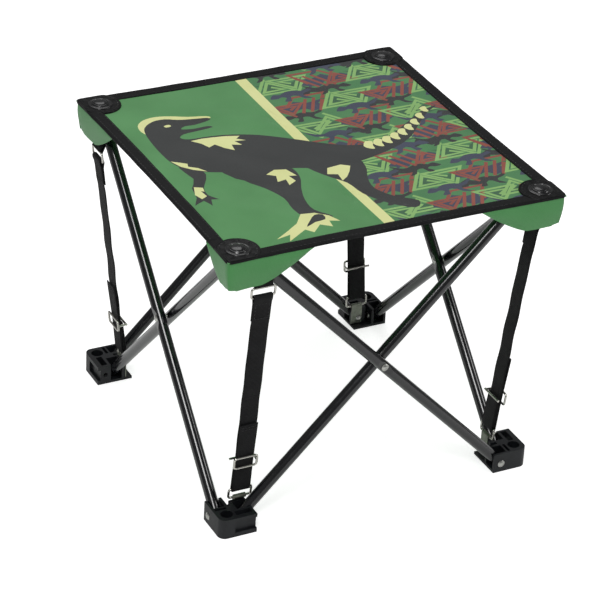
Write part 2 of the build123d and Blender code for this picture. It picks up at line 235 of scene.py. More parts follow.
def plastic_material():
    """Moulded black polypropylene: a fine spark-eroded grain of 0.6 mm, dull to faintly glossy."""
    material, tree, shader = new_material("moulded black polypropylene", {"IOR": 1.49})
    source = add_node(tree, "TexCoord").outputs["Object"]
    vary_colour(tree, shader, source, "#101215", "#1b1e22", 45.0)
    vary_roughness(tree, shader, source, 0.36, 0.52, 70.0)
    grain = add_node(tree, "TexNoise", {"Scale": 1600.0, "Detail": 2.0}, {"Vector": source})
    relief = add_node(
        tree, "Bump", {"Distance": 0.12 * MM, "Strength": 0.6}, {"Height": grain.outputs["Fac"]}
    )
    tree.links.new(relief.outputs["Normal"], shader.inputs["Normal"])
    return material


def button_material():
    """Glossy black nylon: smooth from a polished mould, with a soft broad highlight."""
    material, tree, shader = new_material(
        "gloss black nylon button", {"Coat Weight": 0.6, "Coat Roughness": 0.12, "IOR": 1.53}
    )
    source = add_node(tree, "TexCoord").outputs["Object"]
    vary_colour(tree, shader, source, "#07080a", "#0e0f12", 80.0)
    vary_roughness(tree, shader, source, 0.2, 0.32, 120.0)
    return material


def metal_material(name, low, high, rough_low, rough_high, grain_scale):
    """Plated steel: soft clouds in its gloss and a fine even grain, with no direction."""
    material, tree, shader = new_material(name, {"Metallic": 1.0})
    source = add_node(tree, "TexCoord").outputs["Object"]
    vary_colour(tree, shader, source, low, high, 200.0)
    vary_roughness(tree, shader, source, rough_low, rough_high, 300.0)
    grain = add_node(tree, "TexNoise", {"Scale": grain_scale, "Detail": 2.0}, {"Vector": source})
    relief = add_node(
        tree, "Bump", {"Distance": 0.03 * MM, "Strength": 0.5}, {"Height": grain.outputs["Fac"]}
    )
    tree.links.new(relief.outputs["Normal"], shader.inputs["Normal"])
    return material


PRINT = {
    "field": cloth_material("printed green cloth", "#488d4c", "#559b59"),
    "ground": cloth_material("printed dark green cloth", "#3c7d47", "#488a50"),
    "shade": cloth_material("printed shade green cloth", "#2c5f3a", "#346a41"),
    "leaf": cloth_material("printed leaf green cloth", "#84b765", "#90c26f"),
    "rust": cloth_material("printed rust cloth", "#8d3f2e", "#9a4a36"),
    "navy": cloth_material("printed navy cloth", "#30394f", "#394259"),
    "cream": cloth_material("printed pale yellow cloth", "#e3e79b", "#edf1ab"),
    "ink": cloth_material("printed charcoal cloth", "#1d2121", "#252929"),
}
GREEN = cloth_material("dyed green cloth", "#468c4c", "#509756", 0.3)
WEBBING_BLACK = webbing_material()
TAPE = tape_material()
PATCH = patch_material()
THREAD = cloth_material("black sewing thread", "#0e0e10", "#1a1a1c")
TUBE = tube_material()
PLASTIC = plastic_material()
BUTTON = button_material()
# Zinc plate: pale grey and fairly bright, dulled by handling
RIVET = metal_material("zinc plated steel rivet", "#bfc0bc", "#d6d6d0", 0.22, 0.38, 900.0)
# Nickel plated wire: bright and smooth
WIRE = metal_material("nickel plated steel wire", "#cfcdc6", "#e2e0d8", 0.14, 0.26, 500.0)
# Galvanised strip: greyer, with a soft mottled surface
STRIP = metal_material("galvanised steel strip", "#84897d", "#a0a498", 0.34, 0.52, 260.0)


# ---------------------------------------------------------------- mesh helpers

def new_piece(name, points, faces, materials, body, uvs=None, face_materials=None):
    """A mesh piece in the frame. uvs gives each point's place on the flat cloth, in metres."""
    mesh = bpy.data.meshes.new(name)
    mesh.from_pydata([tuple(p) for p in points], [], faces)
    piece = bpy.data.objects.new(name, mesh)
    bpy.context.scene.collection.objects.link(piece)
    for material in materials:
        mesh.materials.append(material)
    if face_materials:
        mesh.polygons.foreach_set("material_index", face_materials)
    if uvs:
        layer = mesh.uv_layers.new(name="UVMap")
        for loop in mesh.loops:
            layer.data[loop.index].uv = uvs[loop.vertex_index]
    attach(piece, body)
    return piece


def apply_modifier(piece, kind, **settings):
    """Adds a modifier with these settings and applies it."""
    modifier = piece.modifiers.new(kind.lower(), kind)
    for key, value in settings.items():
        setattr(modifier, key, value)
    for other in bpy.context.selected_objects:
        other.select_set(False)
    bpy.context.view_layer.objects.active = piece
    piece.select_set(True)
    bpy.ops.object.modifier_apply(modifier=modifier.name)
    piece.select_set(False)


def smooth(piece, degrees):
    """Smooth shading with edges sharper than the angle left crisp."""
    for other in bpy.context.selected_objects:
        other.select_set(False)
    bpy.context.view_layer.objects.active = piece
    piece.select_set(True)
    bpy.ops.object.shade_smooth_by_angle(angle=radians(degrees))
    piece.select_set(False)


def turned(point, turn):
    """A point of the front or the front-left corner, turned to another side."""
    x, y, z = point
    for _ in range(turn):
        x, y = -y, x
    return Vector((x, y, z))


def strip_faces(rows, columns, closed=False):
    """Quads of a grid whose points run row by row."""
    faces = []
    for row in range(rows - 1):
        for column in range(columns if closed else columns - 1):
            after = (column + 1) % columns
            faces.append((row * columns + column, row * columns + after,
                          (row + 1) * columns + after, (row + 1) * columns + column))
    return faces


def sweep(name, sections, materials, body, uvs):
    """Joins equal closed sections, given as lists of points, into one piece with capped ends."""
    rows, columns = len(sections), len(sections[0])
    points = [point for section in sections for point in section]
    faces = strip_faces(rows, columns, True)
    faces.append(tuple(range(columns))[::-1])
    faces.append(tuple(range((rows - 1) * columns, rows * columns)))
    return new_piece(name, points, faces, materials, body, uvs)


def add_stitches(name, places, body, length=3.2 * MM):
    """Sewn stitches, each a small raised lozenge. places holds (centre, along, up) for each."""
    points, faces, uvs = [], [], []
    for centre, along, up in places:
        along, up = along.normalized(), up.normalized()
        side = along.cross(up)
        first = len(points)
        for share, swell in ((-0.5, 0.25), (-0.25, 0.9), (0.25, 0.9), (0.5, 0.25)):
            for step in range(5):
                angle = pi * step / 4
                points.append(
                    centre + along * share * length
                    + side * cos(angle) * STITCH_WIDTH / 2 * swell
                    + up * sin(angle) * STITCH_WIDTH * 0.7 * swell
                )
                uvs.append((share * length, step * 0.2 * MM))
        faces += [tuple(first + i for i in face) for face in strip_faces(4, 5)]
        faces.append(tuple(first + i for i in (0, 1, 2, 3, 4)))
        faces.append(tuple(first + 15 + i for i in (4, 3, 2, 1, 0)))
    piece = new_piece(name, points, faces, [THREAD], body, uvs)
    smooth(piece, 60)
    return piece


# ---------------------------------------------------------------- seat cloth and its print

def rounded(points, cuts=4):
    """A smooth closed outline through given points, in millimetres."""
    count, outline = len(points), []
    for i in range(count):
        a, b, c, d = (Vector(points[(i + k) % count]) for k in (-1, 0, 1, 2))
        for step in range(cuts):
            t = step / cuts
            outline.append(
                0.5 * (2 * b + (c - a) * t + (2 * a - 5 * b + 4 * c - d) * t * t
                       + (3 * b - a - 3 * c + d) * t ** 3)
            )
    return [(p.x, p.y) for p in outline]


def line_shape(points, width):
    """The outline of a mitred line of this width through the points."""
    places = [Vector(p) for p in points]
    left, right = [], []
    for i, place in enumerate(places):
        before = (place - places[i - 1]).normalized() if i else None
        after = (places[i + 1] - place).normalized() if i + 1 < len(places) else None
        first, second = before or after, after or before
        middle = (first + second).normalized()
        normal = Vector((-middle.y, middle.x))
        reach = width / 2 / max(0.45, normal.dot(Vector((-first.y, first.x))))
        left.append(place + normal * reach)
        right.append(place - normal * reach)
    return [(p.x, p.y) for p in left + right[::-1]]


def spiral(centre, radius, start, sense, width):
    """A three-cornered spiral line that winds inwards."""
    points = []
    for i, share in enumerate((1.0, 1.0, 1.0, 0.6, 0.55, 0.5, 0.12)):
        angle = radians(start + sense * 120 * i)
        points.append((centre[0] + radius * share * cos(angle) * 1.15,
                       centre[1] + radius * share * sin(angle)))
    return line_shape(points, width)


def bars(centre, sense, width):
    """Slanting bars under a hooked line."""
    x, y = centre
    shapes = [line_shape([(x + sense * (step - 14), y - 14), (x + sense * (step + 2), y + 15)], width)
              for step in (0, 10, 20)]
    shapes.append(line_shape(
        [(x - sense * 24, y + 4), (x - sense * 10, y + 22), (x + sense * 26, y + 22),
         (x + sense * 14, y - 4)], width))
    return shapes


# Outlines of the camouflage's two small motifs, in millimetres
RUNNER = ((-24, 2), (-19, 7), (-13, 5), (-6, 9), (3, 9), (10, 6), (18, 8), (27, 16), (20, 4), (11, 1),
          (9, -4), (15, -11), (7, -9), (3, -2), (-4, -1), (-7, -10), (-14, -9), (-9, -3), (-13, 0),
          (-18, -2), (-25, -1))
SHARD = ((-27, -3), (-12, -9), (2, -4), (9, -12), (26, -5), (19, 1), (28, 8), (10, 5), (-2, 11), (-9, 3),
         (-20, 7))
MOTIF_ROW = 98                 # between two rows of motifs, and every second column is half a row up
MOTIF_START = 44
# Shapes of the print from the bottom layer up: (colour, outline in millimetres on the seat)
shapes = []


def add_motif(colour, motif, centre, size, sense, cuts=2):
    """A small motif placed, scaled and, for a negative sense, mirrored."""
    outline = [(centre[0] + x * size * sense, centre[1] + y * size) for x, y in motif]
    shapes.append((colour, rounded(outline, cuts)))


COLUMNS = (30, 83, 136, 189)
for column, across in enumerate(COLUMNS):
    for row in range(-3, 3):
        up = row * MOTIF_ROW + MOTIF_START + MOTIF_ROW / 2 * (column % 2)
        sense = 1 if (row + column) % 2 else -1
        add_motif("navy", SHARD, (across - 2, up - 51), 1.15, sense)
        add_motif("ink", SHARD, (across + 25, up - 22), 0.8, -sense)
        add_motif("shade", SHARD, (across + 3, up - 1), 1.1, -sense)
        for spot, start in (((across - 11, up - 3), 90), ((across + 13, up + 3), -90)):
            shapes.append(("leaf", spiral(spot, 22, start * sense, sense, 3.6)))
        shapes.append(("rust", spiral((across - 15 * sense, up - 53), 18, -90 * sense, -sense, 3.4)))
        for shape in bars((across + 9 * sense, up - 52), sense, 3.6):
            shapes.append(("rust", shape))
        add_motif("navy", RUNNER, (across + 4, up - 25), 1.1, sense)
        add_motif("ink", RUNNER, (across - 6, up + 25), 1.0, -sense)
CAMOUFLAGE_START = 1
STRIPE_START = -11
shapes.append(("cream", [(STRIPE_START, -190), (CAMOUFLAGE_START, -190), (CAMOUFLAGE_START + 2, 190),
                         (STRIPE_START + 1, 190)]))
# A plain long-tailed dinosaur: pale light behind, dark body, then the light on it. The last number is the
# number of steps between two points, and 1 leaves torn straight edges.
DINOSAUR = (
    ("cream", ((-151, 94), (-149, 108), (-139, 118), (-124, 121), (-108, 117), (-92, 110), (-74, 105),
               (-71, 100), (-86, 98), (-100, 103), (-118, 106), (-132, 104), (-140, 94), (-146, 84)), 3),
    ("ink", ((-149, 88), (-144, 102), (-131, 112), (-117, 113), (-104, 107), (-90, 104), (-74, 101),
             (-74, 96), (-92, 91), (-104, 91), (-110, 86), (-98, 83), (-82, 84), (-78, 80), (-96, 77),
             (-112, 75), (-119, 69), (-112, 63), (-90, 62), (-66, 58), (-40, 48), (-14, 30), (16, 6),
             (42, -8), (70, -8), (94, 4), (118, 20), (140, 35), (163, 42), (146, 30), (126, 11),
             (106, -10), (84, -24), (52, -36), (22, -42), (-8, -42), (-34, -32), (-62, -24), (-92, -20),
             (-118, -12), (-140, 0), (-150, 20), (-152, 46), (-151, 70)), 3),
    ("ink", ((-96, -14), (-46, -24), (-42, -48), (-52, -72), (-60, -96), (-61, -118), (-50, -136),
             (-62, -142), (-76, -134), (-80, -110), (-78, -86), (-86, -60), (-98, -38)), 3),
    ("cream", ((-78, -122), (-64, -124), (-53, -134), (-48, -148), (-58, -144), (-60, -156), (-70, -148),
               (-82, -160), (-88, -152), (-112, -168), (-106, -156), (-122, -160), (-104, -148),
               (-90, -138)), 1),
    ("ink", ((-66, -128), (-58, -130), (-60, -140), (-72, -142), (-84, -148), (-76, -138)), 2),
    ("ink", ((-24, -28), (26, -30), (30, -52), (20, -76), (16, -98), (26, -120), (44, -138), (34, -150),
             (14, -132), (0, -104), (-4, -78), (-18, -54)), 3),
    ("ink", ((-148, 10), (-128, -4), (-132, -22), (-142, -38), (-145, -54), (-138, -66), (-146, -64),
             (-150, -76), (-154, -64), (-166, -70), (-158, -56), (-154, -36), (-144, -18)), 2),
    ("ink", ((-114, -4), (-98, -12), (-93, -26), (-78, -32), (-70, -44), (-80, -42), (-84, -52),
             (-92, -42), (-104, -32)), 2),
    ("cream", ((-151, -34), (-143, -38), (-145, -46), (-148, -44), (-147, -56), (-154, -60),
               (-157, -50)), 1),
    ("cream", ((-112, 59), (-100, 60), (-88, 59), (-74, 57), (-60, 53), (-66, 48), (-58, 42), (-70, 44),
               (-66, 34), (-76, 38), (-78, 26), (-86, 34), (-92, 44), (-100, 40), (-104, 50)), 1),
    ("cream", ((-150, 24), (-145, 10), (-136, 0), (-124, -8), (-130, 2), (-138, 8), (-136, 14),
               (-144, 20)), 1),
    ("cream", ((-60, -27), (-48, -30), (-44, -46), (-52, -44), (-50, -56), (-60, -62), (-58, -50),
               (-68, -52), (-64, -40), (-72, -34)), 1),
    ("cream", ((-8, -42), (8, -40), (16, -46), (10, -56), (2, -66), (-6, -72), (-4, -58), (-14, -54)), 1),
    ("cream", ((-124, 99), (-118, 100), (-117, 96), (-123, 95)), 2),
)
shapes += [(colour, rounded(outline, cuts)) for colour, outline, cuts in DINOSAUR]
# pale bands along the tail, smaller towards its tip
for step in range(9):
    along = 56 + 11.5 * step
    lift = -17 + 0.0056 * (along - 44) ** 2 - 0.06 * (along - 56)
    width = 5.6 - 0.3 * step
    shapes.append(("cream", rounded(((along - width - 2, lift + 3), (along - 1, lift + 12 - 0.7 * step),
                                     (along + width, lift + 9 - 0.4 * step), (along + 2, lift + 1),
                                     (along + 1, lift - 6), (along - 4, lift - 4)), 2)))


def inside(x, y, outline):
    """True if the point lies inside the closed outline."""
    within = False
    for (ax, ay), (bx, by) in zip(outline, outline[1:] + outline[:1]):
        if (ay > y) != (by > y) and x < (bx - ax) * (y - ay) / (by - ay) + ax:
            within = not within
    return within


def edge_bow(share):
    """How far the edge is pulled in at this share of the way from the middle to a corner."""
    return EDGE_BOW * max(0.0, 1 - share * share)


def cloth_height(x, y):
    """Top of the stretched cloth: a slight sag and soft pulls that run towards the corners."""
    across, up = x / HALF_SEAT, y / HALF_SEAT
    slack = max(0.0, 1 - across * across) * max(0.0, 1 - up * up)
    ripple = (noise.noise(Vector((x * 9, y * 9, 0.3)))
              + 0.6 * noise.noise(Vector(((x + y) * 26, (x - y) * 7, 4.1))))
    return SEAT_TOP - SEAT_SAG * slack + ripple * 0.9 * MM * (slack ** 0.5) - 0.2 * MM


points, edges = [], []


def add_outline(outline, closed=True):
    first = len(points)
    points.extend(Vector(p) for p in outline)
    count = len(outline)
    edges.extend((first + i, first + (i + 1) % count) for i in range(count if closed else count - 1))


rim = []
RIM_STEPS = 48
for turn in range(4):
    for step in range(RIM_STEPS):
        share = -1 + 2 * step / RIM_STEPS
        place = turned((share * HALF_SEAT, -HALF_SEAT + edge_bow(share), 0), turn)
        rim.append((place.x, place.y))
add_outline(rim)
square = HALF_SEAT - CORNER_SQUARE
for turn in range(4):
    add_outline([turned(p, turn).xy for p in ((-HALF_SEAT, -square, 0), (-square, -square, 0),
                                              (-square, -HALF_SEAT, 0))], False)
    add_outline([turned(p, turn).xy for p in ((-square, -square, 0), (0, 0, 0))], False)
for colour, outline in shapes:
    add_outline([(x * MM, y * MM) for x, y in outline])
cells = int(2 * HALF_SEAT / PRINT_CELL)
for i in range(1, cells):
    for j in range(1, cells):
        points.append(Vector((-HALF_SEAT + i * 2 * HALF_SEAT / cells,
                              -HALF_SEAT + j * 2 * HALF_SEAT / cells)))
flat_points, _, triangles, *_ = delaunay_2d_cdt(points, edges, [], 0, 0.02 * MM)

boxes = []
for colour, outline in shapes:
    xs, ys = [p[0] for p in outline], [p[1] for p in outline]
    boxes.append((min(xs), max(xs), min(ys), max(ys)))
COLOURS = list(PRINT)
regions = {}
for triangle in triangles:
    middle = sum((flat_points[i] for i in triangle), Vector((0, 0))) / 3
    x, y = middle
    if not inside(x, y, rim):
        continue
    found = "ground" if x > CAMOUFLAGE_START * MM else "field"
    for (colour, outline), (x_low, x_high, y_low, y_high) in zip(shapes, boxes):
        if x_low <= x / MM <= x_high and y_low <= y / MM <= y_high and inside(x / MM, y / MM, outline):
            found = colour
    if abs(x) > square and abs(y) > square:
        place = CORNERS[(2 if y > 0 else 1) if x > 0 else (3 if y > 0 else 0)]
    elif abs(x) <= abs(y):
        place = "back" if y > 0 else "front"
    else:
        place = "right" if x > 0 else "left"
    a, b, c = (flat_points[i] for i in triangle)
    if (b - a).cross(c - a) < 0:
        triangle = triangle[::-1]
    regions.setdefault(place, []).append((tuple(triangle), COLOURS.index(found)))


def cloth_piece(name, place, body):
    """The part of the seat's cloth in one region, as a thin solid with an unprinted back."""
    used = {}
    for triangle, _ in regions[place]:
        for i in triangle:
            used.setdefault(i, len(used))
    flat = [flat_points[i] for i in used]
    piece = new_piece(
        name, [(p.x, p.y, cloth_height(p.x, p.y)) for p in flat],
        [tuple(used[i] for i in triangle) for triangle, _ in regions[place]],
        [*PRINT.values(), GREEN], body, [(p.x, p.y) for p in flat],
        [colour for _, colour in regions[place]],
    )
    apply_modifier(piece, "SOLIDIFY", thickness=CLOTH, offset=-1, material_offset=len(PRINT))
    smooth(piece, 50)
    return piece


def folds_along(piece):
    """Gives the piece its own copy of its mesh."""
    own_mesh(piece)


# Section of the binding tape, as (distance in from the edge, height over the cloth's top)
TAPE_SECTION = ((13.5, 0.05), (13.3, 0.75), (12.0, 0.95), (7.0, 1.0), (2.0, 1.05), (0.4, 0.8),
                (-0.7, 0.0), (-0.9, -0.8), (-0.7, -1.6), (0.4, -2.3), (3.0, -2.5), (13.3, -2.3),
                (13.5, -1.25))


def tape(name, path, body, turn):
    """Binding folded over the edge. path gives for each step a function of the depth in from the edge."""
    sections, uvs, run, before = [], [], 0.0, None
    for place in path:
        outer = Vector(place(0.0))
        run += (outer - before).length if before is not None else 0.0
        before = outer
        section, girth = [], 0.0
        for depth, height in TAPE_SECTION:
            flat = Vector(place(depth * MM))
            level = cloth_height(flat.x, flat.y)
            wave = 0.4 * MM * noise.noise(Vector((run * 40, depth * 0.3, turn)))
            section.append(turned((flat.x, flat.y, level + height * MM + wave), turn))
            uvs.append((run, girth))
            girth += 2 * MM
        sections.append(section)
    piece = sweep(name, sections, [TAPE], body, uvs)
    smooth(piece, 40)
    return piece


SIDE_STEPS = 60
side_path = [
    (lambda depth, x=-square + 2 * square * step / SIDE_STEPS:
        (x, -HALF_SEAT + edge_bow(x / HALF_SEAT) + depth))
    for step in range(SIDE_STEPS + 1)
]
CORNER_ROUND = 5 * MM
corner_path = []
for step in range(9):
    x = -square + (-HALF_SEAT + CORNER_ROUND + square) * step / 8
    corner_path.append(lambda depth, x=x: (max(x, -HALF_SEAT + depth),
                                           -HALF_SEAT + edge_bow(x / HALF_SEAT) + depth))
for step in range(1, 8):
    angle = -pi / 2 - pi / 2 * step / 8
    corner_path.append(lambda depth, angle=angle: tuple(
        -HALF_SEAT + max(CORNER_ROUND, depth) + max(0.0, CORNER_ROUND - depth) * part(angle)
        for part in (cos, sin)))
for step in range(9):
    y = -HALF_SEAT + CORNER_ROUND + (-square + HALF_SEAT - CORNER_ROUND) * step / 8
    corner_path.append(lambda depth, y=y: (-HALF_SEAT + edge_bow(y / HALF_SEAT) + depth,
                                           max(y, -HALF_SEAT + depth)))

for turn, (side, corner) in enumerate(zip(SIDES, CORNERS)):
    # quarter of the seat between two corners
    quarter = cloth_piece(f"{side}_seat_cloth", side, f"{side}_seat")
    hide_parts(f"{side}_seat_quarter")
    folds_along(quarter)
    width = 2 * square
    edge_tape = tape(f"{side}_edge_binding", side_path, f"{side}_seat", turn)
    folds_along(edge_tape)
    places = []
    for row, depth in enumerate((2.2, 11.4)):
        count = 56
        for step in range(count):
            x = -square + (step + 0.5) * 2 * square / count
            y = -HALF_SEAT + edge_bow(x / HALF_SEAT) + depth * MM
            places.append((turned((x, y, cloth_height(x, y) + 0.95 * MM), turn), turned((1, 0, 0), turn),
                           Vector((0, 0, 1))))
    sewn = add_stitches(f"{side}_edge_stitches", places, f"{side}_seat")
    folds_along(sewn)
    # corner of the seat, which stays with its hub
    corner_cloth = cloth_piece(f"{corner}_corner_cloth", corner, f"{corner}_hub")
    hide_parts(f"{corner}_pocket")
    tape(f"{corner}_corner_binding", corner_path, f"{corner}_hub", turn)

# ---------------------------------------------------------------- corner patches and pockets

BUTTON_SPOT = sum(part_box("front_left_button"), Vector()) / 2
BUTTON_RADIUS = (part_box("front_left_button")[1].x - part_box("front_left_button")[0].x) / 2
PATCH_RADIUS = 22 * MM
PATCH_STEPS = 72
PATCH_SEAM = 3.6 * MM          # the stitches, in from the rim
PATCH_STITCH_SPACING = 4.4 * MM
# Rise of the patch over the cloth, from its rim to the button: (share of the way in, height in mm)
PATCH_PROFILE = ((0.0, 0.3), (0.02, 1.1), (0.06, 1.7), (0.12, 1.75), (0.17, 1.3), (0.24, 1.15),
                 (0.34, 1.5), (0.42, 1.2), (0.55, 1.25), (0.8, 1.2), (1.0, 0.9))


def patch_reach(angle):
    """Distance from the button to the patch's rim: a disc inwards, square at the seat's corner."""
    to_edge = HALF_SEAT + BUTTON_SPOT.x + 0.2 * MM
    across, up = cos(angle), sin(angle)
    walls = [to_edge / -part for part in (across, up) if part < -1e-6]
    if across < 0 and up < 0:
        corner = min(walls)
        return min(corner, to_edge * 1.36)
    return min([PATCH_RADIUS, *walls])


def make_patch(corner, turn):
    """Patch with a raised rim, and the row of stitches along its round side."""
    sections = []
    for share, height in PATCH_PROFILE:
        ring = []
        for step in range(PATCH_STEPS):
            angle = 2 * pi * step / PATCH_STEPS
            reach = patch_reach(angle)
            reach = reach + ((BUTTON_RADIUS - 1.5 * MM) - reach) * share
            x, y = BUTTON_SPOT.x + reach * cos(angle), BUTTON_SPOT.y + reach * sin(angle)
            pucker = 0.2 * MM * sin(angle * 9) * share * (1 - share) * 4
            ring.append(turned((x, y, SEAT_TOP + (height - 0.35) * MM + pucker), turn))
        sections.append(ring)
    sections.insert(0, [p - Vector((0, 0, 0.9 * MM)) for p in sections[0]])
    uvs = [(p.x, p.y) for section in sections for p in section]
    piece = sweep(f"{corner}_patch", sections, [PATCH], f"{corner}_hub", uvs)
    smooth(piece, 50)
    places = []
    radius = PATCH_RADIUS - PATCH_SEAM
    count = int(pi * radius / PATCH_STITCH_SPACING)
    for step in range(count):
        angle = radians(-48) + radians(186) * step / (count - 1)
        out = Vector((cos(angle), sin(angle), 0))
        along = Vector((-sin(angle), cos(angle), 0))
        centre = Vector((BUTTON_SPOT.x, BUTTON_SPOT.y, SEAT_TOP + 0.95 * MM)) + out * radius
        places.append((turned(centre, turn), turned(along, turn), Vector((0, 0, 1))))
    add_stitches(f"{corner}_patch_stitches", places, f"{corner}_hub", 2.8 * MM)


# Section of the button from its clinched foot up, as (distance from its axis, height over the cloth), in mm.
# The foot's own height comes from the frame.
BUTTON_CAP = ((2.5, 0.0), (12.4, 0.1), (12.9, 0.5), (12.9, 1.0), (12.5, 1.5), (11.6, 1.9), (11.0, 1.85),
              (10.5, 1.55), (9.9, 1.55), (9.4, 2.0), (8.9, 2.9), (8.4, 3.2), (8.1, 3.2), (7.9, 2.9),
              (7.6, 2.9), (7.2, 3.4), (6.0, 4.0), (4.2, 4.4), (2.1, 4.62), (0.15, 4.68))
BUTTON_STEPS = 48


def make_button(corner, turn):
    """Stepped, domed button with its shank and clinched foot."""
    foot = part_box("front_left_button")[0].z
    profile = [(0.15 * MM, foot), (4.2 * MM, foot), (4.5 * MM, foot + 0.3 * MM), (4.5 * MM, foot + 1.4 * MM),
               (2.5 * MM, foot + 1.5 * MM)]
    profile += [(radius * MM, SEAT_TOP + height * MM) for radius, height in BUTTON_CAP]
    sections = []
    for radius, height in profile:
        sections.append([
            turned((BUTTON_SPOT.x + radius * cos(2 * pi * step / BUTTON_STEPS),
                    BUTTON_SPOT.y + radius * sin(2 * pi * step / BUTTON_STEPS), height), turn)
            for step in range(BUTTON_STEPS)
        ])
    uvs = [(p.x, p.y) for section in sections for p in section]
    piece = sweep(f"{corner}_stepped_button", sections, [BUTTON], f"{corner}_hub", uvs)
    smooth(piece, 50)
    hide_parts(f"{corner}_button")


WING_COLUMNS, WING_ROWS = 44, 12
WING_TAPER = 3.0 * MM          # the foot of a wing is drawn in by this
FLAT_SHARE = 0.34              # of a wing's length that keeps its full depth
WING_OUT = 0.3 * MM            # from the seat's edge in to the top of a wing
WING_ROUND = 7 * MM            # round of the pocket at the seat's corner


def wing_depth(along, reach):
    """Height of a pocket's wing at this distance from the seat's corner."""
    if along <= POCKET_NOSE:
        return POCKET_DEPTH * (0.93 + 0.07 * along / POCKET_NOSE)
    flat = POCKET_NOSE + FLAT_SHARE * (reach - POCKET_NOSE)
    share = min(1.0, max(0.0, (along - flat) / (reach - flat)))
    return POCKET_DEPTH * (1 - share ** 1.25) + 0.8 * MM


def make_wing(corner, turn, reach, on_front):
    """One flap of a pocket, from the seat's corner along an edge, hanging and drawn in at its foot."""
    points, uvs = [], []
    for column in range(WING_COLUMNS):
        along = reach * (column / (WING_COLUMNS - 1)) ** 1.15
        depth = wing_depth(along, reach)
        for row in range(WING_ROWS):
            down = row / (WING_ROWS - 1)
            drop = depth * down
            draw = WING_TAPER * (drop / POCKET_DEPTH) ** 1.3 - 1.3 * MM * sin(pi * down)
            fold = noise.noise(Vector((along * 34, drop * 22, turn * 3 + (1.7 if on_front else 0))))
            draw += fold * 1.5 * MM * down
            inset = WING_OUT + draw + edge_bow(1 - along / HALF_SEAT)
            # the corner itself is rounded, so both flaps meet on the diagonal
            bend = max(0.0, 1 - along / WING_ROUND)
            inset += WING_ROUND * 0.29 * bend * bend
            slide = along + (inset - along) * bend * bend
            x, y = -HALF_SEAT + slide, -HALF_SEAT + inset
            if not on_front:
                x, y = y, x
            points.append(turned((x, y, SEAT_TOP - 1.6 * MM - drop), turn))
            uvs.append((along, drop))
    faces = strip_faces(WING_COLUMNS, WING_ROWS)
    if not on_front:
        faces = [face[::-1] for face in faces]
    name = f"{corner}_{'front' if on_front else 'side'}_wing"
    piece = new_piece(name, points, faces, [GREEN], f"{corner}_hub", uvs)
    apply_modifier(piece, "SOLIDIFY", thickness=0.9 * MM, offset=-1)
    smooth(piece, 60)
    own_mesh(piece)


for turn, corner in enumerate(CORNERS):
    make_patch(corner, turn)
    make_button(corner, turn)
    make_wing(corner, turn, FRONT_REACH[turn], True)
    make_wing(corner, turn, SIDE_REACH[turn], False)


# ---------------------------------------------------------------- straps

lower_low, lower_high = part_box("front_left_lower_ring")
upper_low, upper_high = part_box("front_left_upper_ring")
WIRE_RADIUS = 1.2 * MM
strap_foot = Vector(((lower_low.x + lower_high.x) / 2, lower_high.y - WIRE_RADIUS, lower_low.z + WIRE_RADIUS))
strap_head = Vector((strap_foot.x, upper_low.y + WIRE_RADIUS, upper_high.z - WIRE_RADIUS))
STRAP_LENGTH = (strap_head - strap_foot).length
strap_up = (strap_head - strap_foot).normalized()
strap_out = strap_up.cross(Vector((-1, 0, 0))).normalized()
if strap_out.y > 0:
    strap_out = -strap_out
RING_HEIGHT = 11 * MM
LAYER = WIRE_RADIUS + 0.5 * MM + WEBBING / 2     # middle of the webbing, from the wire it runs round
# Places along the strap, from the lower ring's bottom bar
SLIDER = 48 * MM
TAIL_END = 95 * MM
CORE_END = 128 * MM            # end of the spare length
TAIL_OUT = 3.0 * MM            # the loose tail, out from the strap
HEM = 28 * MM                  # doubled webbing below the upper ring
SEAM_OUT = 1.45 * MM           # the hem's stitches, out from the strap
SEAM_SPACING = 3.4 * MM


def ribbon(name, path, corner, turn, body, width=WEBBING_WIDTH, thick=WEBBING):
    """Webbing with rounded edges along a path of (distance up the strap, distance out from it)."""
    places = [strap_foot + strap_up * s + strap_out * n for s, n in path]
    sections, uvs, run = [], [], 0.0
    count = len(places)
    for i, place in enumerate(places):
        ahead = places[min(i + 1, count - 1)] - places[max(i - 1, 0)]
        normal = Vector((1, 0, 0)).cross(ahead).normalized()
        if i:
            run += (place - places[i - 1]).length
        section = []
        for across, out in ((-0.5, 0.0), (-0.485, 0.36), (-0.45, 0.5), (-0.15, 0.46), (0.15, 0.46),
                            (0.45, 0.5), (0.485, 0.36), (0.5, 0.0), (0.485, -0.36), (0.45, -0.5),
                            (0.15, -0.46), (-0.15, -0.46), (-0.45, -0.5), (-0.485, -0.36)):
            point = place + Vector((across * width, 0, 0)) + normal * (out * thick)
            section.append(turned(point, turn))
            uvs.append((across * width, run))
        sections.append(section)
    piece = sweep(name, sections, [WEBBING_BLACK], f"{corner}_{body}", uvs)
    smooth(piece, 45)
    return piece


def arc_round(place, start, end, steps=14):
    """Path of the webbing round a ring's bar that crosses the strap at this place."""
    return [(place + LAYER * cos(radians(start + (end - start) * i / steps)),
             LAYER * sin(radians(start + (end - start) * i / steps))) for i in range(steps + 1)]


def run_between(first, last, steps, wave=0.0):
    """A straight run of the path, with a slight waviness."""
    return [(first[0] + (last[0] - first[0]) * i / steps,
             first[1] + (last[1] - first[1]) * i / steps + wave * sin(pi * i / steps) * sin(2.3 + i * 0.45))
            for i in range(1, steps)]


